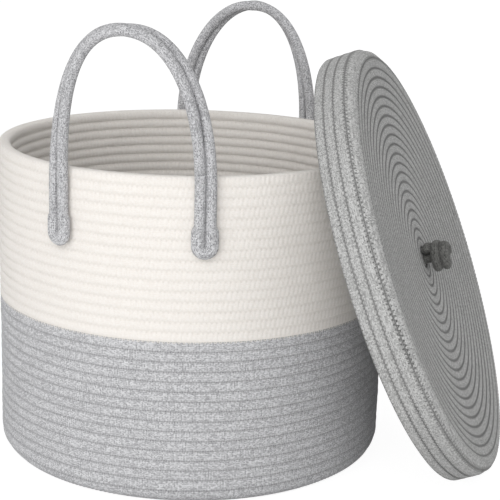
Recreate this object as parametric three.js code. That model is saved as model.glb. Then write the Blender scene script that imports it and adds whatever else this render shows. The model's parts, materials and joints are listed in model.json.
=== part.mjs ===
// A lidded basket of cotton rope, sewn in one spiral, with two rope handles and a lid that leans on its side.
// Millimetres, +Z up. The origin is the centre of the basket's underside, the front handle is at -Y and the
// lid leans on the +X side.

import * as THREE from "three";

// Basket
const basketRadius = 190;
const basketHeight = 312;
const basketCorner = 19;
const colourChangeHeight = 156;
const basketSeamAngle = 60;

// Rope rows, shared by the basket and the lid
const rowPitch = 9.4;
const wallThickness = 11;
const grooveDepth = 1.6;
const edgeInset = 2.8;
const centreRows = 0.5;
const rimRows = 1;
const sewingGap = 0.6;
const taperAngle = 45;
const taperTip = 0.2;
const stepsPerTurn = 32;

// Handles
const cordDiameter = 9.5;
const cordGap = 0.6;
const wallGap = 0.3;
const handleSpan = 137;
const sewnEndDrop = 49;
const sewnEndLength = 27;
const hingeGap = 0.3;
const archSpringDrop = 20;
const leanCurve = 2;
const frontHandle = { rise: 128, lean: 19, roundness: 2.3 };
const backHandle = { rise: 111, lean: 20, roundness: 2.1 };
const archStations = 20;
const archSteps = 30;
const hairpinSteps = 16;
const cordSides = 8;

// Lid
const lidRadius = 211.5;
const lidHeight = 42;
const lidCorner = 12;
const lidSeamAngle = 90;
const lidTilt = 21.4;
const lidSwing = 2.2;
const leanGap = 0.3;

// Knob on the lid
const knobRope = 8;
const knobBend = 4.3;
const knobRowPitch = 8.6;
const knobTurns = 2;
const knobGap = 0.3;
const knobStepsPerTurn = 24;
const knobSides = 6;
const gapSamples = 400;

const degree = Math.PI / 180;

const greyRope = () => new THREE.MeshStandardMaterial({ color: 0xb3b4b6, roughness: 0.95, metalness: 0 });
const whiteRope = () => new THREE.MeshStandardMaterial({ color: 0xf1eee7, roughness: 0.95, metalness: 0 });

function named(name, geometry, material) {
  const mesh = new THREE.Mesh(geometry, material);
  mesh.name = name;
  return mesh;
}

// The middle of the wall of a round vessel, measured outwards from the centre of its flat bottom, round the
// corner and up its side. Each place has the direction in which the wall faces out.
function vesselMeridian(radius, height, corner) {
  const flat = radius - corner;
  const bend = corner - wallThickness / 2;
  const turn = (bend * Math.PI) / 2;
  const length = flat + turn + height - corner;
  const rows = Math.round(length / rowPitch - centreRows - 1);
  const pitch = length / (rows + centreRows + 1);

  function at(distance) {
    const angle = Math.min(Math.max(distance - flat, 0) / bend, Math.PI / 2);
    const rise = Math.max(distance - flat - turn, 0);
    return {
      r: Math.min(distance, flat) + bend * Math.sin(angle),
      z: corner - bend * Math.cos(angle) + rise,
      outR: Math.sin(angle),
      outZ: -Math.cos(angle),
    };
  }

  const rowAtHeight = (z) => Math.round((flat + turn + z - corner) / pitch - centreRows - 0.5);
  const lastFlatRow = Math.floor(flat / pitch - centreRows - 1);
  return { at, pitch, rows, lastFlatRow, rowAtHeight };
}

// Rope rows sewn side by side in one spiral, as a closed solid from row `from` to row `to`. The seams follow the
// spiral, so both edges of the piece end in a step as high as the rope. A face is ridged where its rows show
// and flat where it is pressed smooth. A piece with row 0 is closed over the centre, and a tapered piece has
// the rope's end thinned down to the row below it.
function sewnCoil({ meridian, from, to, seamAngle, outerRidged = true, innerRidged = true, tapered = false }) {
  const n = stepsPerTurn;
  const last = (to - from) * n;
  const closed = from === 0;
  const taperSteps = Math.round((taperAngle / 360) * n);
  const positions = [];
  const triangles = [];

  const ropeShare = (k) => {
    const into = k - (last - taperSteps);
    return tapered && into > 0 ? 1 - ((1 - taperTip) * into) / taperSteps : 1;
  };
  const seamDistance = (k) => {
    const row = k > last ? (k - n) / n + ropeShare(k - n) : k / n;
    return meridian.pitch * (from + centreRows + row) + seamShift(k);
  };
  const seamShift = (k) => {
    if (k < n && !closed) return sewingGap / 2;
    return k > last && !tapered ? -sewingGap / 2 : 0;
  };
  const stepShift = (k) => {
    if ((k === 0 || k === n) && !closed && last > n) return sewingGap / 2;
    return (k === last || k === last + n) && last > n ? -sewingGap / 2 : 0;
  };

  function add(k, distance, side, depth) {
    const place = meridian.at(distance);
    const r = place.r + side * place.outR * depth;
    const angle = seamAngle * degree + (2 * Math.PI * (k % n)) / n + stepShift(k) / r;
    positions.push(r * Math.cos(angle), r * Math.sin(angle), place.z + side * place.outZ * depth);
    return positions.length / 3 - 1;
  }
  function triangle(a, b, c, side) {
    triangles.push(...(side > 0 ? [a, b, c] : [a, c, b]));
  }
  function quad(a, b, c, d, side) {
    triangle(a, b, c, side);
    triangle(a, c, d, side);
  }

  // One face of the coil: its seam points, its crest points and the surface between them.
  function face(side, ridged) {
    const seam = [];
    const crest = [];
    const flatFrom = ridged ? 0 : last;
    const ridge = wallThickness / 2;
    for (let k = flatFrom; k <= last + n; k += 1) {
      const inset = tapered && k >= last ? edgeInset : grooveDepth;
      seam[k] = add(k, seamDistance(k), side, ridged ? ridge - inset : ridge);
    }
    for (let k = 0; ridged && k <= last; k += 1) {
      const share = ropeShare(k);
      const middle = meridian.pitch * (from + centreRows + k / n + share / 2);
      crest[k] = add(k, middle, side, ridge - edgeInset * (1 - share));
    }
    for (let k = 0; k < crest.length - 1; k += 1) {
      quad(seam[k], seam[k + 1], crest[k + 1], crest[k], side);
      quad(crest[k], crest[k + 1], seam[k + 1 + n], seam[k + n], side);
    }
    if (closed) {
      const centre = meridian.at(0);
      const height = centre.z + side * centre.outZ * (ridged ? ridge - grooveDepth : ridge);
      positions.push(0, 0, height);
      const hub = positions.length / 3 - 1;
      for (let k = flatFrom; k < flatFrom + n - 1; k += 1) triangle(seam[k + 1], seam[k], hub, side);
      triangle(seam[flatFrom], seam[flatFrom + n - 1], hub, side);
      triangle(seam[flatFrom + n], seam[flatFrom + n - 1], seam[flatFrom], side);
    }
    return { seam, crest };
  }

  const outer = face(1, outerRidged);
  const inner = face(-1, innerRidged);
  const fan = (points) => {
    for (let i = 1; i < points.length - 1; i += 1) triangle(points[0], points[i], points[i + 1], 1);
  };
  if (closed) {
    if (outerRidged) fan([outer.seam[0], outer.crest[0], outer.seam[n]]);
    if (innerRidged) fan([inner.seam[n], inner.crest[0], inner.seam[0]]);
  } else {
    for (let k = 0; k < n; k += 1) quad(outer.seam[k + 1], outer.seam[k], inner.seam[k], inner.seam[k + 1], 1);
    fan([outer.crest[0], outer.seam[n], inner.seam[n], inner.crest[0], inner.seam[0], outer.seam[0]]);
  }
  for (let k = last; k < last + n; k += 1) {
    quad(outer.seam[k], outer.seam[k + 1], inner.seam[k + 1], inner.seam[k], 1);
  }
  const end = [outer.seam[last], inner.seam[last], inner.crest[last], inner.seam[last + n], outer.seam[last + n]];
  fan([...end, outer.crest[last]].filter((point) => point !== undefined));

  const geometry = new THREE.BufferGeometry();
  geometry.setAttribute("position", new THREE.Float32BufferAttribute(positions, 3));
  geometry.setIndex(triangles);
  geometry.computeVertexNormals();
  return geometry;
}

// A length of rope along a curve, closed at both ends.
function rope(curve, diameter, sides, steps) {
  const section = new THREE.Shape();
  for (let i = 0; i < sides; i += 1) {
    const angle = (2 * Math.PI * (i + 0.5)) / sides;
    const point = [(Math.cos(angle) * diameter) / 2, (Math.sin(angle) * diameter) / 2];
    if (i === 0) section.moveTo(...point);
    else section.lineTo(...point);
  }
  section.closePath();
  return new THREE.ExtrudeGeometry(section, { steps, extrudePath: curve, bevelEnabled: false });
}

// The least gap between lengths of one rope that lie more than two diameters apart along it.
function leastGapToItself(curve, diameter) {
  const points = curve.getSpacedPoints(gapSamples);
  const apart = Math.ceil((2 * diameter * gapSamples) / curve.getLength());
  let least = Infinity;
  for (let i = 0; i < points.length; i += 1) {
    for (let j = i + apart; j < points.length; j += 1) {
      least = Math.min(least, points[i].distanceTo(points[j]) - diameter);
    }
  }
  return least;
}

const cordSpacing = cordDiameter + cordGap;
const cordSeatRadius = basketRadius + wallGap + cordDiameter / 2;
const legDepth = Math.sqrt(cordSeatRadius ** 2 - (handleSpan / 2) ** 2);
const hingeHeight = basketHeight - sewnEndDrop;

// The two cords of a handle's arch at -Y, from its left leg to its right leg. They lie side by side on the wall
// and turn a quarter round each other on the way up, so that at the top one is in front of the other.
function archCords({ rise, lean, roundness }) {
  const spring = basketHeight - archSpringDrop;
  const arch = rise + archSpringDrop - cordSpacing / 2;
  const foot = hingeHeight + hingeGap;
  const stations = [];
  const leg = (x, z) => stations.push({ x, z, depth: legDepth, twist: 0 });

  leg(-handleSpan / 2, foot);
  leg(-handleSpan / 2, (foot + spring) / 2);
  for (let i = 0; i <= archStations; i += 1) {
    const angle = Math.PI * (1 - i / archStations);
    const across = Math.sign(Math.cos(angle)) * Math.abs(Math.cos(angle)) ** (2 / roundness);
    const up = Math.sin(angle) ** (2 / roundness);
    stations.push({
      x: (across * handleSpan) / 2,
      z: spring + arch * up,
      depth: legDepth + lean * up ** leanCurve,
      twist: Math.min(angle, Math.PI - angle),
    });
  }
  leg(handleSpan / 2, (foot + spring) / 2);
  leg(handleSpan / 2, foot);

  const centres = stations.map(({ x, z, depth }) => new THREE.Vector3(x, -depth, z));
  const inner = [];
  const outer = [];
  centres.forEach((centre, i) => {
    const before = centres[Math.max(i - 1, 0)];
    const after = centres[Math.min(i + 1, centres.length - 1)];
    const along = after.clone().sub(before).normalize();
    const away = new THREE.Vector3(centre.x, centre.y, 0).normalize();
    const inwards = along.clone().cross(away).normalize();
    const forwards = inwards.clone().cross(along);
    const { twist } = stations[i];
    const offset = inwards.multiplyScalar(Math.cos(twist)).add(forwards.multiplyScalar(Math.sin(twist)));
    offset.multiplyScalar(cordSpacing / 2);
    inner.push(centre.clone().add(offset));
    outer.push(centre.clone().sub(offset));
  });
  return { inner, outer };
}

// The rope's turn at the foot of a leg, in the plane that touches the wall: down, half round and up again.
class Hairpin extends THREE.Curve {
  constructor(top, length, spacing) {
    super();
    this.top = top;
    this.bend = spacing / 2;
    this.leg = length - cordDiameter / 2 - this.bend;
  }

  getPoint(t, target = new THREE.Vector3()) {
    const turn = Math.PI * this.bend;
    const distance = t * (2 * this.leg + turn);
    if (distance < this.leg) return target.set(-this.bend, 0, this.top - distance);
    if (distance > this.leg + turn) {
      return target.set(this.bend, 0, this.top - (2 * this.leg + turn - distance));
    }
    const angle = (distance - this.leg) / this.bend;
    return target.set(-this.bend * Math.cos(angle), 0, this.top - this.leg - this.bend * Math.sin(angle));
  }
}

function sewnEnd(name, side) {
  const curve = new Hairpin(hingeHeight, sewnEndLength, cordSpacing);
  const mesh = named(name, rope(curve, cordDiameter, cordSides, hairpinSteps), greyRope());
  mesh.position.set((side * handleSpan) / 2, -legDepth, 0);
  mesh.rotation.z = Math.asin((side * handleSpan) / 2 / cordSeatRadius);
  return mesh;
}

function handle(name, shape, leftName, rightName) {
  const group = new THREE.Group();
  const cords = archCords(shape);
  for (const [place, points] of Object.entries(cords)) {
    const curve = new THREE.CatmullRomCurve3(points);
    group.add(named(`${name}_${place}_cord`, rope(curve, cordDiameter, cordSides, archSteps), greyRope()));
  }
  group.add(sewnEnd(`${name}_${leftName}_end`, -1));
  group.add(sewnEnd(`${name}_${rightName}_end`, 1));
  return group;
}

// The knob's rope: up out of the lid, over, and round itself downwards until it lies on the lid.
class KnobWinding extends THREE.Curve {
  constructor() {
    super();
    this.ring = knobBend * (1 + Math.SQRT2);
    this.over = (knobBend * Math.PI) / 2;
    this.aside = (knobBend * Math.PI * 3) / 4;
    this.winding = 2 * Math.PI * this.ring * knobTurns;
    this.slope = knobRowPitch / (2 * Math.PI * this.ring);
    this.top = knobGap + knobRope / 2 + this.slope * (this.aside + this.winding);
    this.foot = knobGap - grooveDepth;
    this.stem = this.top - knobBend - this.foot;
    this.length = this.stem + this.over + this.aside + this.winding;
  }

  getPoint(t, target = new THREE.Vector3()) {
    let distance = t * this.length;
    if (distance < this.stem) return target.set(0, 0, this.foot + distance);
    distance -= this.stem;
    if (distance < this.over) {
      const angle = distance / knobBend;
      const height = this.top - knobBend * (1 - Math.sin(angle));
      return target.set(knobBend * (1 - Math.cos(angle)), 0, height);
    }
    distance -= this.over;
    const height = this.top - this.slope * distance;
    if (distance < this.aside) {
      const angle = distance / knobBend;
      return target.set(knobBend * (1 + Math.sin(angle)), knobBend * (1 - Math.cos(angle)), height);
    }
    const angle = Math.PI / 4 + (distance - this.aside) / this.ring;
    return target.set(this.ring * Math.cos(angle), this.ring * Math.sin(angle), height);
  }
}

function knob() {
  const curve = new KnobWinding();
  const steps = Math.round((knobStepsPerTurn * knobTurns * curve.length) / curve.winding);
  console.log(`lid_knob: least gap to itself ${leastGapToItself(curve, knobRope).toFixed(2)} mm`);
  const mesh = named("lid_knob", rope(curve, knobRope, knobSides, steps), greyRope());
  mesh.rotation.x = Math.PI;
  return mesh;
}

// How far an object reaches in a direction.
function reach(object, direction) {
  let farthest = -Infinity;
  const point = new THREE.Vector3();
  object.updateMatrixWorld(true);
  object.traverse((mesh) => {
    if (!mesh.isMesh) return;
    const { position } = mesh.geometry.attributes;
    for (let i = 0; i < position.count; i += 1) {
      point.fromBufferAttribute(position, i).applyMatrix4(mesh.matrixWorld);
      farthest = Math.max(farthest, point.dot(direction));
    }
  });
  return farthest;
}

function basket() {
  const meridian = vesselMeridian(basketRadius, basketHeight, basketCorner);
  const wallStart = meridian.lastFlatRow;
  const colourChange = meridian.rowAtHeight(colourChangeHeight);
  const rimStart = meridian.rows - rimRows;
  const common = { meridian, seamAngle: basketSeamAngle };
  const group = new THREE.Group();
  const base = sewnCoil({ ...common, from: 0, to: wallStart, outerRidged: false });
  const lowerWall = sewnCoil({ ...common, from: wallStart, to: colourChange });
  const upperWall = sewnCoil({ ...common, from: colourChange, to: rimStart });
  const rim = sewnCoil({ ...common, from: rimStart, to: meridian.rows, tapered: true });
  group.add(named("base_coil", base, greyRope()));
  group.add(named("lower_wall_coil", lowerWall, greyRope()));
  group.add(named("upper_wall_coil", upperWall, whiteRope()));
  group.add(named("rim_coil", rim, whiteRope()));
  return group;
}

// The lid is sewn like a shallow basket, so it is built with its top at z = 0 and its open edge above.
function lid() {
  const meridian = vesselMeridian(lidRadius, lidHeight, lidCorner);
  const common = { meridian, seamAngle: lidSeamAngle };
  const skirtStart = meridian.lastFlatRow;
  const group = new THREE.Group();
  const top = sewnCoil({ ...common, from: 0, to: skirtStart, innerRidged: false });
  const skirt = sewnCoil({ ...common, from: skirtStart, to: meridian.rows, tapered: true });
  group.add(named("lid_top_coil", top, greyRope()));
  group.add(named("lid_skirt_coil", skirt, greyRope()));
  group.add(knob());
  return group;
}

// The lid stands on its lower edge, and the inside of its top rests on the basket's rim.
function leanLid(leaning, support) {
  const tilt = lidTilt * degree;
  const swing = lidSwing * degree;
  const normal = new THREE.Vector3(Math.cos(tilt), 0, Math.sin(tilt));
  const upwards = new THREE.Vector3(-Math.sin(tilt), 0, Math.cos(tilt));
  const turned = normal.clone().applyAxisAngle(new THREE.Vector3(0, 0, 1), swing);
  const seat = reach(support, turned) + leanGap + wallThickness;
  leaning.rotation.y = -(Math.PI / 2 + tilt);
  leaning.position.copy(normal).multiplyScalar(seat);
  const lowest = -reach(leaning, new THREE.Vector3(0, 0, -1));
  leaning.position.addScaledVector(upwards, -lowest / Math.cos(tilt));
  const group = new THREE.Group();
  group.rotation.z = swing;
  group.add(leaning);
  return group;
}

const part = new THREE.Group();
const vessel = basket();
const front = handle("front_handle", frontHandle, "left", "right");
const back = handle("back_handle", backHandle, "right", "left");
back.rotation.z = Math.PI;
part.add(vessel, front, back, leanLid(lid(), vessel));

export default part;
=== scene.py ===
"""A lidded basket of sewn cotton rope, with its thread, handles, knob and studio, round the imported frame."""

import json
import math

import bmesh
import bpy
import numpy as np
from mathutils import Matrix, Vector


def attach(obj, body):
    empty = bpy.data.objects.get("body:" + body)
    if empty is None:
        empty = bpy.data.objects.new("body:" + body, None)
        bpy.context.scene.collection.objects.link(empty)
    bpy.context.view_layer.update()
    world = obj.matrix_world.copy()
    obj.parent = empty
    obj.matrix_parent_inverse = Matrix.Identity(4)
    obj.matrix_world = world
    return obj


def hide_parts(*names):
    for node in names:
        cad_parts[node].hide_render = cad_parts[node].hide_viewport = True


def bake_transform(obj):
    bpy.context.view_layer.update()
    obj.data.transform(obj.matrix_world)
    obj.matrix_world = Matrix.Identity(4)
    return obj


bl_info = {
    "name": "Rope basket",
    "version": (1, 0, 0),
    "blender": (4, 5, 0),
    "location": "View3D > Sidebar > Rope Basket",
    "description": "Builds a lidded basket of sewn cotton rope round its fixed frame",
    "category": "Object",
}

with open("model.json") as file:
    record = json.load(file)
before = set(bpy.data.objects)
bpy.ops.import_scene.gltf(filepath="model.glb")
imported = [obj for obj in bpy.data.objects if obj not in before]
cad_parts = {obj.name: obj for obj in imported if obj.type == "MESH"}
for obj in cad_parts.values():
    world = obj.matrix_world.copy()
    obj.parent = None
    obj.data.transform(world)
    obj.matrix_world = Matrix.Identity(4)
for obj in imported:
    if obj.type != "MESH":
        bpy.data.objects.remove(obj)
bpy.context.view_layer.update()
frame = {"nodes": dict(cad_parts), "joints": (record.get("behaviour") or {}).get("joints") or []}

MM = 0.001
TURN = 2 * math.pi


def linear(colour):
    """The linear colour, with full alpha, of an sRGB hex value such as #F4F0E9."""
    shares = [int(colour[i : i + 2], 16) / 255 for i in (1, 3, 5)]
    return [c / 12.92 if c <= 0.04045 else ((c + 0.055) / 1.055) ** 2.4 for c in shares] + [1.0]


def number_property(name, description, default, **settings):
    """A number that a user may change."""
    return bpy.props.FloatProperty(name=name, description=description, default=default, **settings)


def length_property(name, description, default):
    """A size in metres that a user may change."""
    return number_property(name, description, default, min=0.0, unit="LENGTH", precision=4)


def angle_property(name, description, degrees):
    """An angle that a user may change."""
    return number_property(name, description, math.radians(degrees), subtype="ANGLE")


def colour_property(name, description, default):
    """A colour that a user may change."""
    return bpy.props.FloatVectorProperty(
        name=name, description=description, default=linear(default), size=4, subtype="COLOR", min=0.0, max=1.0
    )


class RopeBasketSizes(bpy.types.PropertyGroup):
    """Real sizes of the basket, its lid, handles and knob."""

    basket_radius: length_property("Basket radius", "Outer radius of the basket", 0.190)
    basket_height: length_property("Basket height", "Height of the rim above the floor", 0.312)
    basket_corner: length_property("Basket corner", "Outer radius between the base and the wall", 0.019)
    colour_change: length_property("Colour change", "Height where the rope turns from grey to white", 0.156)
    lid_radius: length_property("Lid radius", "Outer radius of the lid", 0.2115)
    lid_height: length_property("Lid height", "Height of the lid's skirt", 0.042)
    lid_corner: length_property("Lid corner", "Outer radius between the lid's top and its skirt", 0.012)
    lid_sag: length_property("Lid sag", "How far the middle of the soft top sinks in", 0.009)
    row_pitch: length_property("Row pitch", "Distance from one rope row to the next", 0.0094)
    rope_depth: length_property("Rope depth", "Thickness of the wall, which is one rope", 0.011)
    cord_diameter: length_property("Cord diameter", "Thickness of the handles' rope", 0.0100)
    handle_span: length_property("Handle span", "Distance between a handle's two legs", 0.137)
    knob_rope: length_property("Knob rope", "Thickness of the rope wound into the knob", 0.0095)
    stitch_length: length_property("Stitch length", "Length of one zigzag of the sewing thread", 0.0045)
    stitch_width: length_property("Stitch width", "Width of the zigzag across the seam", 0.0020)
    thread_diameter: length_property("Thread diameter", "Thickness of the sewing thread", 0.0007)


class RopeBasketColours(bpy.types.PropertyGroup):
    """Colours of the yarns and threads."""

    grey_light: colour_property("Grey yarn, light", "Light fibres of the grey rope", "#E3E3E5")
    grey_dark: colour_property("Grey yarn, dark", "Dark fibres of the grey rope", "#929295")
    white_light: colour_property("White yarn, light", "Light fibres of the white rope", "#FAF6F1")
    white_dark: colour_property("White yarn, dark", "Dull fibres of the white rope", "#F4EEE7")
    lid_light: colour_property("Lid yarn, light", "Light fibres of the lid's rope", "#CECECD")
    lid_dark: colour_property("Lid yarn, dark", "Dark fibres of the lid's rope", "#888887")
    cord_light: colour_property("Cord yarn, light", "Light fibres of the handles' rope", "#DCDCDE")
    cord_dark: colour_property("Cord yarn, dark", "Dark fibres of the handles' rope", "#7E7E81")
    # The knob's tones are far darker than the other ropes' to paint the shade that it sits in.
    knob_light: colour_property("Knob yarn, light", "Light fibres of the knob's rope", "#7E7E7B")
    knob_dark: colour_property("Knob yarn, dark", "Dark fibres of the knob's rope", "#3E3E3C")
    grey_thread: colour_property("Grey thread", "Thread that sews the basket's grey rope", "#C6C6C8")
    lid_thread: colour_property("Lid thread", "Thread that sews the lid's rope", "#999998")
    white_thread: colour_property("White thread", "Thread that sews the white rope", "#F5F1EB")


class RopeBasketStudio(bpy.types.PropertyGroup):
    """Camera and light."""

    camera_place: bpy.props.FloatVectorProperty(
        name="Camera place",
        description="Where the camera stands",
        default=(0.4687, -1.4863, 0.5992),
        subtype="TRANSLATION",
        unit="LENGTH",
    )
    camera_turn: angle_property("Camera turn", "Heading of the view", 15.41)
    camera_tilt: angle_property("Camera tilt", "Tilt below the horizon", 14.53)
    camera_roll: angle_property("Camera roll", "Roll about the line of sight", 1.54)
    camera_lens: number_property("Focal length", "Focal length on a 36 mm sensor", 116.0, unit="CAMERA")
    key_power: number_property("Key power", "Power of the large soft lamp", 44.0, unit="POWER")
    key_size: length_property("Key size", "Side of the square lamp", 2.8)
    key_distance: length_property("Key distance", "From the lamp to the basket", 2.6)
    key_heading: angle_property("Key heading", "Turn of the lamp to the right of the front", 0)
    key_height: angle_property("Key height", "Angle of the lamp above the basket", 24)
    room_light: number_property("Room light", "Strength of the light from all round", 0.59, min=0.0)
    floor_whiteness: number_property("Floor whiteness", "Share of pure white that the camera sees", 0.8)


# Rope and seams

# Exponents of the sewn rope's section. An ellipse has 2, and the wall's outside is pressed flattest.
WALL_ROUNDNESS = 6.0
LID_ROUNDNESS = 5.0
INNER_ROUNDNESS = 2.4
# How far each row is pressed into the next one.
SQUEEZE = 1.0 * MM
# Points along a quarter of the section, to measure it.
QUARTER_POINTS = 2001
# The wall's waves: height, how many go round, how they drift with the distance up the wall, and their start.
WAVES = (
    (0.35 * MM, 3, 9, 0.0),
    (0.25 * MM, 5, -31, 1.3),
    (0.12 * MM, 17, 130, 0.0),
    (0.08 * MM, 29, -210, 0.7),
)
# They grow over this distance above the corner.
WAVE_RAMP = 40 * MM
# Where the sewing thread's zigzag turns, in stitches, and on which side of the seam.
ZIGZAG_CORNERS = (-0.12, 0.12, 0.38, 0.62)
ZIGZAG_SIDES = (-1.0, -1.0, 1.0, 1.0)
THREAD_SIDES = 3
# Faces round a handle's or the knob's rope.
CORD_SIDES = 18
OUTSIDE, INSIDE = 1, -1


def unit(vectors):
    return vectors / np.maximum(np.linalg.norm(vectors, axis=-1, keepdims=True), 1e-12)


def outwards(points):
    """The level direction from the basket's axis to each point."""
    return unit(points * [1, 1, 0])


def moved(points, matrix):
    matrix = np.array(matrix)
    return points @ matrix[:3, :3].T + matrix[:3, 3]


def distances(points):
    """How far along a line each of its points lies."""
    return np.concatenate([[0.0], np.cumsum(np.linalg.norm(np.diff(points, axis=0), axis=1))])


def interpolated(values, length, wanted):
    """Vectors at the wanted lengths, from values whose lengths are known."""
    return np.stack([np.interp(wanted, length, values[:, axis]) for axis in range(3)], axis=-1)


def tangents(points, closed=False):
    """The direction of a line at each of its points."""
    before, after = (points[-2:-1], points[1:2]) if closed else (points[:1], points[-1:])
    padded = np.concatenate([before, points, after])
    return unit(padded[2:] - padded[:-2])


def zigzag(first, last):
    """Each turn of a zigzag from one stitch to another: where it is, in stitches, and on which side."""
    return np.add.outer(np.arange(first, last), ZIGZAG_CORNERS).ravel(), np.tile(ZIGZAG_SIDES, last - first)


class Meridian:
    """The middle of a round vessel's wall, from the centre of its flat bottom, round its corner and up."""

    # Rows between the centre and the first seam.
    CENTRE_ROWS = 0.5

    def __init__(self, radius, height, corner, sizes, sag=0.0):
        self.sag = sag
        self.flat = radius - corner
        self.bend = corner - sizes.rope_depth / 2
        self.corner = corner
        self.turn = self.bend * math.pi / 2
        length = self.flat + self.turn + height - corner
        self.rows = round(length / sizes.row_pitch - self.CENTRE_ROWS - 1)
        self.pitch = length / (self.rows + self.CENTRE_ROWS + 1)
        self.last_flat_row = math.floor(self.flat / self.pitch - self.CENTRE_ROWS - 1)

    def row_at_height(self, height):
        return round((self.flat + self.turn + height - self.corner) / self.pitch - self.CENTRE_ROWS - 0.5)

    def seam(self, turns):
        """Distance along the meridian of the seam below the rope at that turn."""
        return self.pitch * (self.CENTRE_ROWS + turns)

    def at(self, distance, depth, angle):
        """Points at a distance along the meridian, and at a depth outwards from the wall's middle."""
        bend = np.clip((distance - self.flat) / self.bend, 0, math.pi / 2)
        rise = np.maximum(distance - self.flat - self.turn, 0)
        depth = depth + self.unevenness(angle, distance)
        radius = np.minimum(distance, self.flat) + self.bend * np.sin(bend) + depth * np.sin(bend)
        height = self.corner - self.bend * np.cos(bend) + rise - depth * np.cos(bend)
        height += self.sag * (1 - np.minimum(np.abs(distance) / self.flat, 1) ** 2)
        return np.stack([radius * np.cos(angle), radius * np.sin(angle), height], axis=-1)

    def unevenness(self, angle, distance):
        """How far a hand-fed rope wall stands off a true round one. A flat bottom has none."""
        wall = np.clip((distance - self.flat - self.turn) / WAVE_RAMP, 0, 1)
        return wall * sum(
            height * np.sin(count * angle + drift * distance + start) for height, count, drift, start in WAVES
        )


def grid_mesh(name, along, around, size):
    bm = bmesh.new()
    bmesh.ops.create_grid(bm, x_segments=along, y_segments=around, size=size)
    mesh = bpy.data.meshes.new(name)
    bm.to_mesh(mesh)
    bm.free()
    return mesh


def in_scene(name, data):
    thing = bpy.data.objects.new(name, data)
    bpy.context.scene.collection.objects.link(thing)
    return thing


# Points closer than this are welded.
WELD = 0.001 * MM


def skin(name, along, around, place, uv_maps, material):
    """A closed tube: a grid whose two shares, along and around, are placed in space and welded."""
    mesh = grid_mesh(name, along, around, 0.5)
    grid = np.zeros(len(mesh.vertices) * 3, np.float32)
    mesh.vertices.foreach_get("co", grid)
    shares = grid.reshape(-1, 3).astype(float) + 0.5
    corners = np.zeros(len(mesh.loops), np.int32)
    mesh.loops.foreach_get("vertex_index", corners)
    for map_name, values in uv_maps.items():
        layer = mesh.uv_layers.new(name=map_name)
        uv = values(shares[:, 0], shares[:, 1])[corners]
        layer.uv.foreach_set("vector", uv.astype(np.float32).ravel())
    points = place(shares[:, 0], shares[:, 1])
    mesh.vertices.foreach_set("co", points.astype(np.float32).ravel())
    bm = bmesh.new()
    bm.from_mesh(mesh)
    bmesh.ops.remove_doubles(bm, verts=bm.verts, dist=WELD)
    rims = [edge for edge in bm.edges if edge.is_boundary]
    if rims:
        bmesh.ops.holes_fill(bm, edges=rims, sides=0)
    bmesh.ops.recalc_face_normals(bm, faces=bm.faces)
    for face in bm.faces:
        face.smooth = True
    bm.to_mesh(mesh)
    bm.free()
    mesh.materials.append(material)
    return in_scene(name, mesh)


def quarter_section(sizes, roundness):
    """Angle, distance across and length from the crest, along a quarter of the sewn rope's section."""
    angle = np.linspace(0, math.pi / 2, QUARTER_POINTS)
    across = (sizes.row_pitch / 2 + SQUEEZE) * np.sin(angle) ** (2 / roundness)
    depth = sizes.rope_depth / 2 * np.cos(angle) ** (2 / roundness)
    length = np.concatenate([[0.0], np.cumsum(np.hypot(np.diff(across), np.diff(depth)))])
    return angle, across, length


def rope_girth(sizes, roundness):
    """Length once round the sewn rope, for its pattern."""
    return 4 * quarter_section(sizes, roundness)[2][-1]


def share_from_crest(sizes, roundness, distance):
    """Share of the girth between the rope's crest and a point that lies at that distance across."""
    _, across, length = quarter_section(sizes, roundness)
    return np.interp(distance, across, length) / length[-1] / 4


def girth_share(share, sizes, outer_roundness):
    """The share of the girth at each share of the section's angle, so that the pattern isn't stretched."""
    from_crest = TURN * np.abs(share % 0.5 - 0.25)
    even = np.zeros_like(share)
    for outside, roundness in ((share < 0.5, outer_roundness), (share >= 0.5, INNER_ROUNDNESS)):
        angle, _, length = quarter_section(sizes, roundness)
        even = np.where(outside, np.interp(from_crest, angle, length) / length[-1] / 4, even)
    crest = np.where(share < 0.5, 0.25, 0.75)
    return crest + np.where(share < crest, -even, even)


def pressed_section(share, half_width, half_depth, outer_roundness):
    """Across and depth of a rope's section, flat outside. It starts where the rope touches the row below."""
    angle = TURN * (share - 0.25)
    roundness = np.where(np.cos(angle) > 0, outer_roundness, INNER_ROUNDNESS)
    across = np.sign(np.sin(angle)) * np.abs(np.sin(angle)) ** (2 / roundness)
    depth = np.sign(np.cos(angle)) * np.abs(np.cos(angle)) ** (2 / roundness)
    return half_width * across, half_depth * depth


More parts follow.
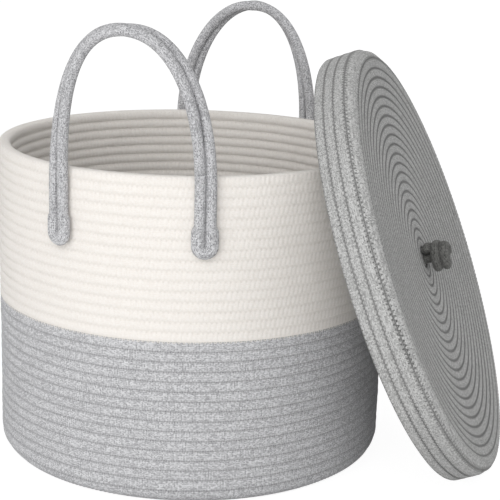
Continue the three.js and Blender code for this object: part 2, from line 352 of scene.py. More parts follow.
class SewnSpiral:
    """One rope that is wound along a meridian and sewn to itself from row to row."""

    STEPS_PER_TURN = 128
    SIDES = 16
    # Steps a turn in the tables of the spiral's length.
    TABLE_STEPS = 40
    # Over the last part of a turn the rope thins to this share of its width, and half as much in depth.
    TAPER_TURNS = 0.125
    TAPER_TIP = 0.2
    TAPER_DEPTH = 0.5
    # The last row isn't pressed into another one. Its free side narrows over this part of a turn.
    FREE_SIDE_RAMP = 0.1
    # The rope starts before the first turn and is thinner there, which closes the centre.
    CENTRE_START = -1.1
    CENTRE_THINNING = 0.2
    # How far the zigzag lies in the rope.
    THREAD_SINK = 0.42 * MM

    def __init__(self, meridian, seam_angle, roundness, sizes, body, to_row_frame=None):
        self.meridian = meridian
        self.roundness = roundness
        self.seam_angle = seam_angle
        self.sizes = sizes
        self.body = body
        self.to_row_frame = to_row_frame or Matrix.Identity(4)
        self.half_width = meridian.pitch / 2 + SQUEEZE
        self.half_depth = sizes.rope_depth / 2
        points = self.TABLE_STEPS * (meridian.rows + 3)
        self.turn_table = np.linspace(self.CENTRE_START - 1, meridian.rows + 1, points)
        self.rope_table = self.lengths(0.5)
        self.seam_table = self.lengths(1.0)

    def lengths(self, rows_up):
        """Length, at each turn of the table, of the spiral that many rows above the rope's lower seam."""
        turns = self.turn_table
        return distances(self.meridian.at(self.meridian.seam(turns + rows_up), 0.0, TURN * turns))

    def angle(self, turns):
        return self.seam_angle + TURN * turns

    def rope(self, name, start, end, material, slot, replaced, tapered=False):
        """The rope from one turn to another, as wide as the row it lies in."""
        first = self.CENTRE_START if start == 0 else start
        steps = round(self.STEPS_PER_TURN * (end - first))

        def place(along, around):
            turns = first + (end - first) * along
            into = np.clip((turns - end + self.TAPER_TURNS) / self.TAPER_TURNS, 0, 1)
            share = 1 - (1 - self.TAPER_TIP) * into * tapered
            across, depth = pressed_section(around, self.half_width, self.half_depth, self.roundness)
            middle = self.meridian.seam(turns) + self.meridian.pitch * share / 2
            depth = depth * (1 - self.TAPER_DEPTH * (1 - share))
            depth = depth * (1 - self.CENTRE_THINNING * np.clip(-turns, 0, 1))
            free = np.clip((turns - self.meridian.rows + 1) / self.FREE_SIDE_RAMP, 0, 1) * (across > 0)
            across = across * (1 - free * SQUEEZE / self.half_width)
            points = self.meridian.at(middle + across * share, depth, self.angle(turns))
            return moved(points, self.to_row_frame)

        girth = rope_girth(self.sizes, self.roundness)

        def rope_uv(along, around):
            length = np.interp(first + (end - first) * along, self.turn_table, self.rope_table)
            return np.stack([length, girth * girth_share(around, self.sizes, self.roundness)], axis=-1)

        def seam_uv(along, around):
            turns = first + (end - first) * along
            below = np.interp(turns - 1, self.turn_table, self.seam_table)
            above = np.interp(turns, self.turn_table, self.seam_table)
            return np.stack([below, above], axis=-1) / self.sizes.stitch_length

        piece = skin(name, steps, self.SIDES, place, {"rope": rope_uv, "seams": seam_uv}, material)
        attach(piece, self.body)
        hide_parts(replaced)

    def thread(self, name, start, end, material, slot, side):
        """The zigzag that sews each row from one turn to another to the next row, on one side of the wall."""
        sizes = self.sizes
        length = np.interp([start, end], self.turn_table, self.seam_table)
        stitches = int((length[1] - length[0]) / sizes.stitch_length)
        first = math.ceil(length[0] / sizes.stitch_length)
        roundness = self.roundness if side == OUTSIDE else INNER_ROUNDNESS
        needle_share = (sizes.row_pitch - sizes.stitch_width) / (sizes.row_pitch + 2 * SQUEEZE)
        depth = self.half_depth * (1 - needle_share**roundness) ** (1 / roundness)
        depth = side * (depth + sizes.thread_diameter / 2 - self.THREAD_SINK)
        corners, up = zigzag(first, first + stitches)
        turns = np.interp(corners * sizes.stitch_length, self.seam_table, self.turn_table)
        level = self.meridian.seam(turns + 1) + up * sizes.stitch_width / 2
        path = moved(self.meridian.at(level, depth, self.angle(turns)), self.to_row_frame)
        piece = tube(name, path, sizes.thread_diameter, THREAD_SIDES, material)
        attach(piece, self.body)


def resampled(points, count, closed=False):
    """The same line with evenly spaced points. A closed one ends on its first point."""
    line = np.concatenate([points, points[:1]]) if closed else points
    length = distances(line)
    return interpolated(line, length, np.linspace(0, length[-1], count + 1))


# A line whose upward share is more than this counts as upright.
UPRIGHT = 0.9


def sideways(points, closed, facing=None):
    """Two unit vectors square to a line at each point. The first faces as told, else up, or +X if upright."""
    along = tangents(points, closed)
    if facing is None:
        upright = np.abs(along[:, 2:]) > UPRIGHT
        facing = np.where(upright, np.array([1.0, 0.0, 0.0]), np.array([0.0, 0.0, 1.0]))
    first = unit(facing - along * np.sum(facing * along, axis=1, keepdims=True))
    return first, np.cross(along, first)


def carried(points, start):
    """A direction at each point of a line, carried along it without twist."""
    along = unit(np.gradient(points, axis=0))
    directions = [unit(np.array(start) - along[0] * np.dot(start, along[0]))]
    for step in along[1:]:
        directions.append(unit(directions[-1] - step * np.dot(directions[-1], step)))
    return np.array(directions)


def tube(name, path, diameter, sides, material, facing=None, closed=False, profile=None):
    """A rope or thread along a line of points. Its profile scales its depth and its width at each point."""
    first, second = sideways(path, closed, facing)
    steps = len(path) - 1
    length = distances(path)
    radii = diameter / 2 * (np.ones((len(path), 2)) if profile is None else profile)

    def place(along, around):
        index = np.clip(np.rint(along * steps).astype(int), 0, steps)
        angle = TURN * around
        out = first[index] * (radii[index, 0] * np.cos(angle))[:, None]
        across = second[index] * (radii[index, 1] * np.sin(angle))[:, None]
        return path[index] + out + across

    def rope_uv(along, around):
        index = np.clip(np.rint(along * steps).astype(int), 0, steps)
        return np.stack([length[index], math.pi * diameter * around], axis=-1)

    return skin(name, steps, sides, place, {"rope": rope_uv}, material)


# Materials


def add(tree, kind, inputs=None, **settings):
    """Adds a node with its settings, and its inputs as values or as the nodes and sockets that feed them."""
    node = tree.nodes.new(kind)
    for name, value in settings.items():
        setattr(node, name, value)
    for key, value in (inputs or {}).items():
        if isinstance(value, bpy.types.Node):
            value = value.outputs[0]
        if isinstance(value, bpy.types.NodeSocket):
            tree.links.new(value, node.inputs[key])
        else:
            node.inputs[key].default_value = value
    return node


def maths(tree, operation, *values, clamp=False):
    return add(tree, "ShaderNodeMath", dict(enumerate(values)), operation=operation, use_clamp=clamp)


def ramp(tree, value, start, end):
    """A smooth change from 0, where the value is at its start, to 1, where it is at its end."""
    inputs = {0: value, 1: start, 2: end, 3: 0.0, 4: 1.0}
    return add(tree, "ShaderNodeMapRange", inputs, interpolation_type="SMOOTHSTEP")


def blended(tree, share, low, high):
    return add(tree, "ShaderNodeMix", {0: share, 2: low, 3: high}, data_type="FLOAT")


def tinted(tree, share, low, high):
    return add(tree, "ShaderNodeMix", {0: share, 6: low, 7: high}, data_type="RGBA").outputs[2]


def along_and_round(tree, uv_map):
    """The two outputs of a UV map: along the rope and round it, or the stitches of its two seams."""
    return add(tree, "ShaderNodeSeparateXYZ", {0: add(tree, "ShaderNodeUVMap", uv_map=uv_map)}).outputs[:2]


def surface(tree, colour, finish, relief, depth=1.0, strength=1.0):
    """Ends a material in a shader. The relief is as high as its value times the depth, in metres."""
    bump = add(tree, "ShaderNodeBump", {"Height": relief, "Distance": depth, "Strength": strength})
    shader = add(tree, "ShaderNodeBsdfPrincipled", {"Base Color": colour, "Normal": bump, **finish})
    add(tree, "ShaderNodeOutputMaterial", {0: shader})


def new_material(name):
    material = bpy.data.materials.new(name)
    material.use_nodes = True
    material.node_tree.nodes.clear()
    return material, material.node_tree


# The rope's knitted cover: one stitch is 1.2 mm long and its two legs together are 1.7 mm wide.
KNIT_LENGTH = 1.2 * MM
KNIT_WIDTH = 1.7 * MM
KNIT_SLANT = 1.1
KNIT_DEPTH = 0.3 * MM
# Height of a leg at its low end, and how steeply it swells from there.
LEG_FOOT = 0.4
LEG_SWELL = 1.2
# How far each fourth leg is darker than the rest.
MARKED = 0.25
# Fibres are drawn this thick, because real ones are too fine to show. Patches are slow changes of tone.
FIBRE = 0.4 * MM
PATCH = 30 * MM
# The hole that the needle leaves beside the thread. Its bump is relief; its darkening is painted shade.
HOLE_RADIUS = 0.9 * MM
HOLE_DEPTH = 0.45 * MM
# The pull of the upper seam fades out between these shares of the girth, counted from the rope's top.
UPPER_NONE = 0.31
UPPER_FULL = 0.19
# Painted shade where two rows meet begins at these distances from their seam.
WALL_PAINTED_SHADE_REACH = 0.8 * MM
LID_TOP_PAINTED_SHADE_REACH = 2.4 * MM
# Share of the yarn's light that is left in the painted shade where it is deepest, in a hole or between two
# rows.
PAINTED_SHADE_TONE = 0.2
# How deep the zigzag thread draws the rope in at each stitch.
PULL_DEPTH = 0.22 * MM
FIBRE_DEPTH = 0.12 * MM
# How much the tones of the legs, the fibres and the patches differ.
LEG_CONTRAST = 1.2
FIBRE_CONTRAST = 2.0
PATCH_CONTRAST = 0.2
NOISE_DETAIL = 2.0
# Dry cotton, slightly fuzzy.
COTTON = {"Roughness": 0.92, "Specular IOR Level": 0.2, "Sheen Weight": 0.12, "Sheen Roughness": 0.6}
# Polyester is a little smoother. Its two plies turn round each other once in this length.
POLYESTER = {"Roughness": 0.7, "Specular IOR Level": 0.3}
PLY_LENGTH = 1.2 * MM
PLY_DEPTH = 0.1 * MM
PLY_STRENGTH = 0.5
PLY_DISTORTION = 0.5


def knit_pattern(tree):
    """Height of the knitted cover, and the tone of each leg: every fourth is dark, the rest are mixed."""
    along, across = along_and_round(tree, "rope")
    rows = maths(tree, "DIVIDE", along, KNIT_LENGTH)
    wales = maths(tree, "DIVIDE", across, KNIT_WIDTH)
    slant = maths(tree, "PINGPONG", wales, 0.5)
    phase = maths(tree, "MULTIPLY_ADD", slant, KNIT_SLANT, rows)
    leg = maths(tree, "PINGPONG", wales, 0.25)
    leg = maths(tree, "SQRT", maths(tree, "MULTIPLY", leg, 4.0))
    loop = maths(tree, "PINGPONG", phase, 0.5)
    loop = maths(tree, "MULTIPLY_ADD", loop, LEG_SWELL, LEG_FOOT)
    height = maths(tree, "MULTIPLY", leg, loop)
    stitch = maths(tree, "FLOOR", phase)
    half = maths(tree, "FLOOR", maths(tree, "MULTIPLY", wales, 2.0))
    cell = add(tree, "ShaderNodeCombineXYZ", {0: stitch, 1: half})
    share = add(tree, "ShaderNodeTexWhiteNoise", {"Vector": cell}, noise_dimensions="2D")
    odd_stitch = maths(tree, "FLOORED_MODULO", stitch, 2.0)
    odd_half = maths(tree, "FLOORED_MODULO", half, 2.0)
    marked = maths(tree, "MULTIPLY", odd_stitch, odd_half)
    tone = maths(tree, "MULTIPLY_ADD", share.outputs["Value"], 1 - MARKED, MARKED)
    return height, maths(tree, "MULTIPLY_ADD", marked, -MARKED, tone)


def seam_work(tree, sizes, roundness, painted_shade_reach):
    """Shares from 0 to 1: the needle's holes, the pull of the thread, and the band where two rows meet, which
    is only painted shade.
    """
    across = along_and_round(tree, "rope")[1]
    lower_seam, upper_seam = along_and_round(tree, "seams")
    girth = rope_girth(sizes, roundness)
    hole_share = share_from_crest(sizes, roundness, (sizes.row_pitch - sizes.stitch_width) / 2)
    seam_share = share_from_crest(sizes, roundness, sizes.row_pitch / 2)
    share = maths(tree, "DIVIDE", across, girth)
    from_crest = maths(tree, "PINGPONG", maths(tree, "SUBTRACT", share, 0.25), 0.25)
    groove = ramp(tree, from_crest, seam_share - painted_shade_reach / girth, seam_share)
    from_hole = maths(tree, "MULTIPLY", maths(tree, "SUBTRACT", from_crest, hole_share), girth)
    from_top = maths(tree, "ABSOLUTE", maths(tree, "SUBTRACT", share, 0.5))
    upper = ramp(tree, from_top, UPPER_NONE, UPPER_FULL)
    waves = []
    reach = []
    for stitches in (maths(tree, "ADD", lower_seam, 0.5), upper_seam):
        waves.append(maths(tree, "COSINE", maths(tree, "MULTIPLY", stitches, TURN)))
        reach.append(maths(tree, "MULTIPLY", maths(tree, "PINGPONG", stitches, 0.5), sizes.stitch_length))
    pull = maths(tree, "MULTIPLY_ADD", blended(tree, upper, *waves), 0.5, 0.5)
    above = maths(tree, "LESS_THAN", from_top, 0.25)
    offset = add(tree, "ShaderNodeCombineXYZ", {0: blended(tree, above, *reach), 1: from_hole})
    distance = add(tree, "ShaderNodeVectorMath", {0: offset}, operation="LENGTH")
    hole = ramp(tree, distance.outputs["Value"], HOLE_RADIUS, 0.0)
    return hole, pull, groove


def spread(tree, share, contrast, centre):
    """A tone round a centre, from a share between 0 and 1."""
    return maths(tree, "MULTIPLY_ADD", share, contrast, centre - contrast / 2)


def cotton_rope(name, light, dark, sizes, roundness=None, painted_hole_shade=0.0, groove=(0.0, 0.0)):
    """Knitted cotton cover over a soft core: matt, slightly fuzzy, each leg of a stitch its own tone.

    A rope that is sewn has a roundness, and its stitches draw it in and leave small holes, darkened with
    painted shade. Its groove is the painted shade where two rows meet: the distance from the seam where it
    begins, and its strength.
    """
    material, tree = new_material(name)
    knit, leg_share = knit_pattern(tree)
    uv = add(tree, "ShaderNodeUVMap", uv_map="rope")
    fibre, patch = (
        add(tree, "ShaderNodeTexNoise", {"Vector": uv, "Scale": 1 / size, "Detail": NOISE_DETAIL})
        for size in (FIBRE, PATCH)
    )
    tone = spread(tree, leg_share, LEG_CONTRAST, 0.5)
    tone = maths(tree, "ADD", tone, spread(tree, fibre, FIBRE_CONTRAST, 0.0))
    tone = maths(tree, "ADD", tone, spread(tree, patch, PATCH_CONTRAST, 0.0), clamp=True)
    colour = tinted(tree, tone, dark, light)
    relief = maths(tree, "MULTIPLY", knit, KNIT_DEPTH)
    relief = maths(tree, "MULTIPLY_ADD", fibre, FIBRE_DEPTH, relief)
    if roundness:
        painted_shade_reach, painted_groove_shade = groove
        hole, pull, painted_groove_mask = seam_work(tree, sizes, roundness, painted_shade_reach)
        relief = maths(tree, "MULTIPLY_ADD", hole, -HOLE_DEPTH, relief)
        relief = maths(tree, "MULTIPLY_ADD", pull, -PULL_DEPTH, relief)
        # Painted shade: the needle holes and the band where two rows meet are mixed towards this dark tone.
        deep = [channel * PAINTED_SHADE_TONE for channel in dark[:3]] + [1.0]
        shade = maths(tree, "MULTIPLY", hole, painted_hole_shade)
        shade = maths(tree, "MAXIMUM", shade, maths(tree, "MULTIPLY", painted_groove_mask, painted_groove_shade))
        colour = tinted(tree, shade, colour, deep)
    surface(tree, colour, COTTON, relief)
    return material


def sewing_thread(name, colour):
    """Polyester thread of two plies, twisted together."""
    material, tree = new_material(name)
    uv = add(tree, "ShaderNodeUVMap", uv_map="rope")
    waves = {"Vector": uv, "Scale": 1 / PLY_LENGTH / TURN, "Distortion": PLY_DISTORTION}
    twist = add(tree, "ShaderNodeTexWave", waves, wave_type="BANDS")
    surface(tree, colour, POLYESTER, twist.outputs["Fac"], PLY_DEPTH, PLY_STRENGTH)
    return material


# Each rope's yarn. Where it is sewn, also its section, the painted shade of its needle holes, and its groove's
# painted shade: how far from the seam it begins, and its strength.
ROPES = {
    "grey_knitted_cotton_wall": ("grey", WALL_ROUNDNESS, 0.8, (WALL_PAINTED_SHADE_REACH, 0.5)),
    "grey_knitted_cotton_lid_skirt": ("lid", LID_ROUNDNESS, 0.9, (WALL_PAINTED_SHADE_REACH, 0.6)),
    # The lid's top is the skirt's rope, with darker holes and a wider, darker groove: painted shade for the
    # shaded top.
    "grey_knitted_cotton_lid_top": ("lid", LID_ROUNDNESS, 1.0, (LID_TOP_PAINTED_SHADE_REACH, 0.85)),
    "white_knitted_cotton_wall": ("white", WALL_ROUNDNESS, 0.12, (WALL_PAINTED_SHADE_REACH, 0.03)),
    "grey_knitted_cotton_cord": ("cord",),
    # The knob's darker yarn is painted shade.
    "grey_knitted_cotton_knob": ("knob",),
}
THREADS = {
    "grey_polyester_thread": "grey_thread",
    "dark_grey_polyester_thread": "lid_thread",
    "white_polyester_thread": "white_thread",
}


def material_of(name):
    """The finish of that name. It is made when the first piece asks for it."""
    made = bpy.data.materials.get(name)
    if made:
        return made
    colours = bpy.context.scene.rope_basket_colours
    if name in THREADS:
        return sewing_thread(name, list(getattr(colours, THREADS[name])))
    yarn, *sewn = ROPES[name]
    light, dark = (list(getattr(colours, f"{yarn}_{tone}")) for tone in ("light", "dark"))
    return cotton_rope(name, light, dark, bpy.context.scene.rope_basket_sizes, *sewn)


# Basket

BASKET_SEAM_ANGLE = math.radians(60)
LID_SEAM_ANGLE = math.radians(90)


def basket_spiral(sizes):
    meridian = Meridian(sizes.basket_radius, sizes.basket_height, sizes.basket_corner, sizes)
    return SewnSpiral(meridian, BASKET_SEAM_ANGLE, WALL_ROUNDNESS, sizes, "basket")


class ROPEBASKET_OT_base(bpy.types.Operator):
    """Makes the flat spiral base of grey rope, with its seams"""

    bl_idname = "rope_basket.base"
    bl_label = "Base"

    def execute(self, context):
        spiral = basket_spiral(context.scene.rope_basket_sizes)
        end = spiral.meridian.last_flat_row
        grey = material_of("grey_knitted_cotton_wall")
        thread = material_of("grey_polyester_thread")
        spiral.rope("base_rope", 0, end, grey, "grey_rope", "base_coil")
        spiral.thread("base_thread_inside", 0, end, thread, "grey_rope", INSIDE)
        spiral.thread("base_thread_outside", 0, end, thread, "grey_rope", OUTSIDE)
        return {"FINISHED"}


class ROPEBASKET_OT_walls(bpy.types.Operator):
    """Makes the wall: grey rows, white rows and the rim with the rope's thinned end"""

    bl_idname = "rope_basket.walls"
    bl_label = "Walls and rim"

    def execute(self, context):
        sizes = context.scene.rope_basket_sizes
        spiral = basket_spiral(sizes)
        start = spiral.meridian.last_flat_row
        change = spiral.meridian.row_at_height(sizes.colour_change)
        rim = spiral.meridian.rows - 1
        end = spiral.meridian.rows
        grey = material_of("grey_knitted_cotton_wall")
        white = material_of("white_knitted_cotton_wall")
        spiral.rope("lower_wall_rope", start, change, grey, "grey_rope", "lower_wall_coil")
        spiral.rope("upper_wall_rope", change, rim, white, "white_rope", "upper_wall_coil")
        spiral.rope("rim_rope", rim, end, white, "white_rope", "rim_coil", tapered=True)
        grey_thread = material_of("grey_polyester_thread")
        white_thread = material_of("white_polyester_thread")
        for side, label in ((OUTSIDE, "outside"), (INSIDE, "inside")):
            spiral.thread(f"lower_wall_thread_{label}", start, change - 1, grey_thread, "grey_rope", side)
            spiral.thread(f"upper_wall_thread_{label}", change - 1, end - 1, white_thread, "white_rope", side)
        return {"FINISHED"}


# Handles

# The two cords are sewn against each other, so their sides are pressed in.
CORD_PRESS = 0.2 * MM
# Between the wall and the cords.
WALL_GAP = 0.3 * MM
# From the rim down to the top of the sewn ends, and their length.
SEWN_END_DROP = 49 * MM
SEWN_END_LENGTH = 27 * MM
# From the rim down to where the straight legs begin to curve.
SPRING_DROP = 20 * MM
# The sewn ends are pressed wider and flatter than the cords above, as shares of the cord, over a short step.
FOOT_WIDTH = 0.24
FOOT_FLATNESS = 0.08
FOOT_STEP = 6 * MM
# The row of stitches across the top of each sewn end draws the cords in.
TACK_DEPTH = 0.08
TACK_REACH = 1.6 * MM
TACK_POINTS = 41
# Points along the straight part of a leg, and round the bend below a foot.
LEG_POINTS = 40
HAIRPIN_POINTS = 26
# Each handle's arch: its rise, how far it leans out at its top, and its roundness.
FRONT_HANDLE = {"rise": 128 * MM, "lean": 19 * MM, "roundness": 2.3}
BACK_HANDLE = {"rise": 111 * MM, "lean": 20 * MM, "roundness": 2.1}


class HandleShape:
    """A rope loop laid double over an arch, its two ends sewn flat to the wall."""

    ARCH_POINTS = 240
    STEPS = 760

    def __init__(self, sizes, rise, lean, roundness):
        self.cord = sizes.cord_diameter
        self.spacing = self.cord - CORD_PRESS
        self.half_span = sizes.handle_span / 2
        seat = sizes.basket_radius + WALL_GAP + self.cord / 2
        self.depth = math.sqrt(seat**2 - self.half_span**2)
        self.hinge_height = sizes.basket_height - SEWN_END_DROP
        self.spring = sizes.basket_height - SPRING_DROP
        self.arch_height = rise + SPRING_DROP - self.spacing / 2
        self.lean = lean
        self.roundness = roundness

    def arch(self):
        """The cords' middle line from the left foot to the right one, and how far they turn about it."""
        angle = np.linspace(math.pi, 0, self.ARCH_POINTS)
        across = np.sign(np.cos(angle)) * np.abs(np.cos(angle)) ** (2 / self.roundness)
        up = np.sin(np.clip(angle, 0, math.pi)) ** (2 / self.roundness)
        depth = self.depth + self.lean * up**2
        arch = np.stack([across * self.half_span, -depth, self.spring + self.arch_height * up], axis=-1)
        twist = np.minimum(angle, math.pi - angle)
        foot = self.hinge_height - SEWN_END_LENGTH + (self.cord + self.spacing) * (1 + FOOT_WIDTH) / 2
        heights = np.linspace(foot, self.spring, LEG_POINTS)[:-1]
        level = np.zeros(len(heights))
        left = np.stack([level - self.half_span, level - self.depth, heights], axis=-1)
        right = left[::-1] * [-1, 1, 1]
        return np.concatenate([left, arch, right]), np.concatenate([level, twist, level])

    def pressed(self, height):
        """Share, from 0 to 1, by which the cords are pressed flat at a height."""
        share = np.clip((self.hinge_height - height) / FOOT_STEP + 0.5, 0, 1)
        return share**2 * (3 - 2 * share)

    def section(self, height):
        """Depth and width of a cord at a height, as shares of its diameter."""
        tack = np.clip(1 - np.abs(height - self.hinge_height) / TACK_REACH, 0, 1)
        depth = 1 - FOOT_FLATNESS * self.pressed(height) - TACK_DEPTH * tack
        return np.stack([depth, 1 + FOOT_WIDTH * self.pressed(height)], axis=-1)

    def pair(self):
        """The arch's middle, the direction from it to the inner cord, and the way its front faces."""
        middle, twist = self.arch()
        along = tangents(middle)
        inwards = unit(np.cross(along, outwards(middle)))
        forwards = np.cross(inwards, along)
        turned = inwards * np.cos(twist)[:, None] + forwards * np.sin(twist)[:, None]
        spread = 1 + FOOT_WIDTH * self.pressed(middle[:, 2])
        return middle, turned * (self.spacing / 2 * spread)[:, None], np.cross(along, turned)

    def hairpin(self, foot, start):
        """The half turn below a foot, from one cord's offset to the other's."""
        angle = np.linspace(0, math.pi, HAIRPIN_POINTS)[1:-1, None]
        down = np.array([0, 0, -np.linalg.norm(start)])
        return foot + np.cos(angle) * start + np.sin(angle) * down

    def loop(self):
        """The whole rope loop as one closed line."""
        middle, offset, _ = self.pair()
        inner = middle + offset
        outer = middle - offset
        right = self.hairpin(middle[-1], offset[-1])
        left = self.hairpin(middle[0], -offset[0])
        line = np.concatenate([inner, right, outer[::-1], left])
        return resampled(line, self.STEPS, closed=True)

    def seam(self, side, sizes):
        """The zigzag that holds the two cords together, on one face of the pair."""
        pair = self.pair()
        length = distances(pair[0])
        corners, sway = zigzag(1, int(length[-1] / sizes.stitch_length))
        middle, offset, front = (interpolated(line, length, corners * sizes.stitch_length) for line in pair)
        reach = sizes.stitch_width / 2
        depth = self.surface(reach, middle[:, 2])
        return middle + unit(offset) * sway[:, None] * reach + side * unit(front) * depth[:, None]

    def surface(self, across, height):
        """How far the pair's face stands out, at a distance to one side of its middle and at a height."""
        depth, width = self.section(height).T * self.cord / 2
        apart = self.spacing / 2 * (1 + FOOT_WIDTH * self.pressed(height))
        return depth * np.sqrt(np.clip(1 - ((np.abs(across) - apart) / width) ** 2, 0, 1))

    def tack(self, side):
        """The row of stitches across the top of one sewn end, over both cords and the groove between them."""
        centre = np.array([side * self.half_span, -self.depth, self.hinge_height])
        out = outwards(centre)
        aside = np.cross([0, 0, 1], out)
        edge = (self.spacing + self.cord) / 2 * (1 + FOOT_WIDTH / 2)
        across = np.linspace(-edge, edge, TACK_POINTS)
        level = np.full(TACK_POINTS, self.hinge_height)
        stand = self.surface(across, level)
        groove = np.abs(across) < self.spacing / 4
        stand[groove] = stand[~groove & (np.abs(across) < self.spacing / 2)].min()
        return centre + np.outer(across, aside) + np.outer(stand, out)


class ROPEBASKET_OT_handles(bpy.types.Operator):
    """Makes the two handles, each one rope loop with its seams, its ends pressed flat where they are sewn to
    the wall
    """

    bl_idname = "rope_basket.handles"
    bl_label = "Handles"

    def execute(self, context):
        sizes = context.scene.rope_basket_sizes
        self.handle(sizes, "front_handle", FRONT_HANDLE, ("left", "right"), 0)
        self.handle(sizes, "back_handle", BACK_HANDLE, ("right", "left"), math.pi)
        return {"FINISHED"}

    def handle(self, sizes, name, shape, ends, turn):
        form = HandleShape(sizes, **shape)
        turned = np.array(Matrix.Rotation(turn, 3, "Z"))
        line = form.loop() @ turned.T
        cord = material_of("grey_knitted_cotton_cord")
        profile = form.section(line[:, 2])
        rope = tube(
            f"{name}_rope", line, form.cord, CORD_SIDES, cord, outwards(line), closed=True, profile=profile
        )
        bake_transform(rope)
        cords = (f"{name}_{layer}_cord" for layer in ("inner", "outer"))
        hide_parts(*cords, *(f"{name}_{place}_end" for place in ends))
        lines = {
            "thread_front": form.seam(1, sizes),
            "thread_back": form.seam(-1, sizes),
            "left_tack": form.tack(-1),
            "right_tack": form.tack(1),
        }
        grey = material_of("grey_polyester_thread")
        for label, points in lines.items():
            points = points @ turned.T
            thread = tube(f"{name}_{label}", points, sizes.thread_diameter, THREAD_SIDES, grey)
            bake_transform(thread)


# Lid


def lid_place():
    """From the lid's own frame, with its top at z = 0 and its open edge above, to where it leans."""
    out = Vector(next(joint for joint in frame["joints"] if joint["name"] == "lid_lift")["axis"]).normalized()
    side = Vector((-out.y, out.x, 0)).normalized()
    up = out.cross(side)

    def extent(node, direction):
        points = np.array([vertex.co for vertex in frame["nodes"][node].data.vertices])
        reach = points @ np.array(direction)
        return reach.min(), reach.max()

    centre = out * extent("lid_top_coil", out)[1]
    for direction in (up, side):
        centre += direction * (sum(extent("lid_skirt_coil", direction)) / 2)
    place = Matrix((up, side, -out)).transposed().to_4x4()
    place.translation = centre
    return place


class ROPEBASKET_OT_lid(bpy.types.Operator):
    """Makes the lid: its spiral top and its skirt, with their seams"""

    bl_idname = "rope_basket.lid"
    bl_label = "Lid"

    def execute(self, context):
        sizes = context.scene.rope_basket_sizes
        meridian = Meridian(sizes.lid_radius, sizes.lid_height, sizes.lid_corner, sizes, sizes.lid_sag)
        spiral = SewnSpiral(meridian, LID_SEAM_ANGLE, LID_ROUNDNESS, sizes, "lid", lid_place())
        change = meridian.last_flat_row
        end = meridian.rows
        # The top's material carries more painted shade than the skirt's.
        top = material_of("grey_knitted_cotton_lid_top")
        skirt = material_of("grey_knitted_cotton_lid_skirt")
        thread = material_of("dark_grey_polyester_thread")
        spiral.rope("lid_top_rope", 0, change, top, "grey_rope", "lid_top_coil")
        spiral.rope("lid_skirt_rope", change, end, skirt, "grey_rope", "lid_skirt_coil", tapered=True)
        for side, label in ((OUTSIDE, "outside"), (INSIDE, "inside")):
            spiral.thread(f"lid_thread_{label}", 0, end - 1, thread, "grey_rope", side)
        return {"FINISHED"}


# Knob

# The rope's bend radius, the fall of one winding, the windings, the gap to the lid and the root in it.
KNOB_BEND = 4.3 * MM
KNOB_ROW_PITCH = 8.6 * MM
KNOB_TURNS = 2
KNOB_GAP = 0.3 * MM
KNOB_ROOT = 1.6 * MM
# Points along the knob's stem, its bend over, its turn aside and its winding, and steps along the whole.
STEM_POINTS = 12
OVER_POINTS = 16
ASIDE_POINTS = 24
WOUND_POINTS = 180
KNOB_STEPS = 260


def knob_line(rope):
    """Up out of the lid, over, and round itself downwards until it lies on the lid."""
    ring = KNOB_BEND * (1 + math.sqrt(2))
    aside = KNOB_BEND * math.pi * 3 / 4
    winding = TURN * ring * KNOB_TURNS
    slope = KNOB_ROW_PITCH / (TURN * ring)
    top = KNOB_GAP + rope / 2 + slope * (aside + winding)
    foot = KNOB_GAP - KNOB_ROOT
    stem = np.linspace(foot, top - KNOB_BEND, STEM_POINTS)[:-1]
    bend = np.linspace(0, math.pi / 2, OVER_POINTS)[:-1]
    turn = np.linspace(0, math.pi * 3 / 4, ASIDE_POINTS)[:-1]
    distance = np.linspace(0, winding, WOUND_POINTS)
    angle = math.pi / 4 + distance / ring
    parts = (
        (0 * stem, 0 * stem, stem),
        (KNOB_BEND * (1 - np.cos(bend)), 0 * bend, top - KNOB_BEND * (1 - np.sin(bend))),
        (KNOB_BEND * (1 + np.sin(turn)), KNOB_BEND * (1 - np.cos(turn)), top - slope * turn * KNOB_BEND),
        (ring * np.cos(angle), ring * np.sin(angle), top - slope * (aside + distance)),
    )
    return np.concatenate([np.stack(part, axis=-1) for part in parts])


class ROPEBASKET_OT_knob(bpy.types.Operator):
    """Makes the lid's knob, a length of rope wound round itself"""

    bl_idname = "rope_basket.knob"
    bl_label = "Knob"

    def execute(self, context):
        sizes = context.scene.rope_basket_sizes
        line = resampled(knob_line(sizes.knob_rope), KNOB_STEPS) * [1, -1, -1] + [0, 0, sizes.lid_sag]
        place = np.array(lid_place())
        line = moved(line, place)
        # Its material's darker yarn is painted shade.
        cord = material_of("grey_knitted_cotton_knob")
        facing = carried(line, place[:3, 0])
        knob = tube("knob_rope", line, sizes.knob_rope, CORD_SIDES, cord, facing=facing)
        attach(knob, "lid")
        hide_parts("lid_knob")
        return {"FINISHED"}


# Studio

# A little over 1, so that the lit floor is pure white beside the object's shadow.
FLOOR_GLOW = 1.18
# Half the side of the floor.
FLOOR_REACH = 6.0
FLOOR_PAPER = "#EDEDED"
WHITE = (1, 1, 1, 1)
SENSOR_WIDTH = 36.0
# The lamp points at the middle of the basket.
KEY_TARGET = (0, 0, 0.18)


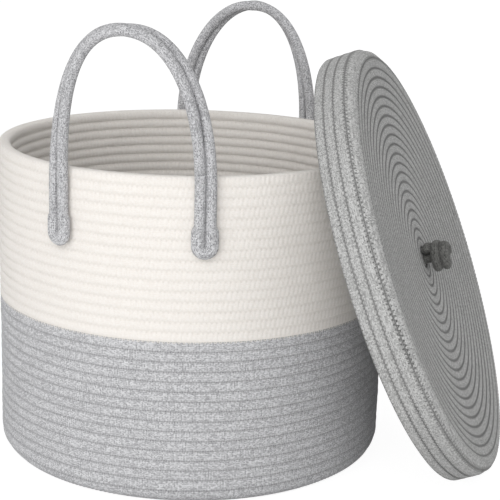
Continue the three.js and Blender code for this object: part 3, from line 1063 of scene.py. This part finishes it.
class ROPEBASKET_OT_stage(bpy.types.Operator):
    """Makes the floor, the light and the camera"""

    bl_idname = "rope_basket.stage"
    bl_label = "Stage"

    def execute(self, context):
        scene = context.scene
        studio = scene.rope_basket_studio
        scene.view_settings.view_transform = "Standard"
        self.floor(studio)
        self.room(scene, studio)
        self.key(studio)
        self.camera(scene, studio)
        return {"FINISHED"}

    def floor(self, studio):
        floor = in_scene("floor", grid_mesh("floor", 1, 1, FLOOR_REACH))
        material, tree = new_material("white_paper_sweep")
        paper = add(tree, "ShaderNodeBsdfDiffuse", {"Color": linear(FLOOR_PAPER)})
        white = add(tree, "ShaderNodeEmission", {"Color": WHITE, "Strength": FLOOR_GLOW})
        seen = add(tree, "ShaderNodeLightPath").outputs["Is Camera Ray"]
        share = maths(tree, "MULTIPLY", seen, studio.floor_whiteness)
        sheet = add(tree, "ShaderNodeMixShader", {0: share, 1: paper, 2: white})
        add(tree, "ShaderNodeOutputMaterial", {0: sheet})
        floor.data.materials.append(material)

    def room(self, scene, studio):
        world = bpy.data.worlds.new("white_room")
        scene.world = world
        world.use_nodes = True
        tree = world.node_tree
        tree.nodes.clear()
        seen = add(tree, "ShaderNodeLightPath").outputs["Is Camera Ray"]
        strength = blended(tree, seen, studio.room_light, 1.0)
        background = add(tree, "ShaderNodeBackground", {"Color": WHITE, "Strength": strength})
        add(tree, "ShaderNodeOutputWorld", {0: background})

    def key(self, studio):
        lamp = bpy.data.lights.new("key", "AREA")
        lamp.shape = "SQUARE"
        lamp.size = studio.key_size
        lamp.energy = studio.key_power
        key = in_scene("key", lamp)
        heading = studio.key_heading
        height = studio.key_height
        level = math.cos(height)
        away = Vector((math.sin(heading) * level, -math.cos(heading) * level, math.sin(height)))
        key.location = Vector(KEY_TARGET) + away * studio.key_distance
        key.rotation_euler = (-away).to_track_quat("-Z", "Y").to_euler()

    def camera(self, scene, studio):
        data = bpy.data.cameras.new("camera")
        data.lens = studio.camera_lens
        data.sensor_width = SENSOR_WIDTH
        camera = in_scene("camera", data)
        turn = Matrix.Rotation(studio.camera_turn, 4, "Z")
        tilt = Matrix.Rotation(math.pi / 2 - studio.camera_tilt, 4, "X")
        roll = Matrix.Rotation(studio.camera_roll, 4, "Z")
        camera.matrix_world = Matrix.Translation(studio.camera_place) @ turn @ tilt @ roll
        scene.camera = camera


class ROPEBASKET_PT_panel(bpy.types.Panel):
    """Lists what can be made and the sizes, colours and light that it is made with"""

    bl_idname = "ROPEBASKET_PT_panel"
    bl_label = "Rope Basket"
    bl_space_type = "VIEW_3D"
    bl_region_type = "UI"
    bl_category = "Rope Basket"

    def draw(self, context):
        for operator in OPERATORS:
            self.layout.operator(operator.bl_idname)
        for group_name in GROUPS:
            group = getattr(context.scene, group_name)
            box = self.layout.box()
            for name in group.bl_rna.properties.keys():
                if name not in ("rna_type", "name"):
                    box.prop(group, name)


OPERATORS = (
    ROPEBASKET_OT_stage,
    ROPEBASKET_OT_base,
    ROPEBASKET_OT_walls,
    ROPEBASKET_OT_handles,
    ROPEBASKET_OT_lid,
    ROPEBASKET_OT_knob,
)
GROUPS = {
    "rope_basket_sizes": RopeBasketSizes,
    "rope_basket_colours": RopeBasketColours,
    "rope_basket_studio": RopeBasketStudio,
}


def register():
    for name, group in GROUPS.items():
        bpy.utils.register_class(group)
        setattr(bpy.types.Scene, name, bpy.props.PointerProperty(type=group))
    for operator in OPERATORS:
        bpy.utils.register_class(operator)
    bpy.utils.register_class(ROPEBASKET_PT_panel)


def unregister():
    bpy.utils.unregister_class(ROPEBASKET_PT_panel)
    for operator in reversed(OPERATORS):
        bpy.utils.unregister_class(operator)
    for name, group in GROUPS.items():
        delattr(bpy.types.Scene, name)
        bpy.utils.unregister_class(group)


def main():
    register()
    bpy.ops.rope_basket.stage()
    bpy.ops.rope_basket.base()
    bpy.ops.rope_basket.walls()
    bpy.ops.rope_basket.handles()
    bpy.ops.rope_basket.lid()
    bpy.ops.rope_basket.knob()


if __name__ == "__main__":
    main()
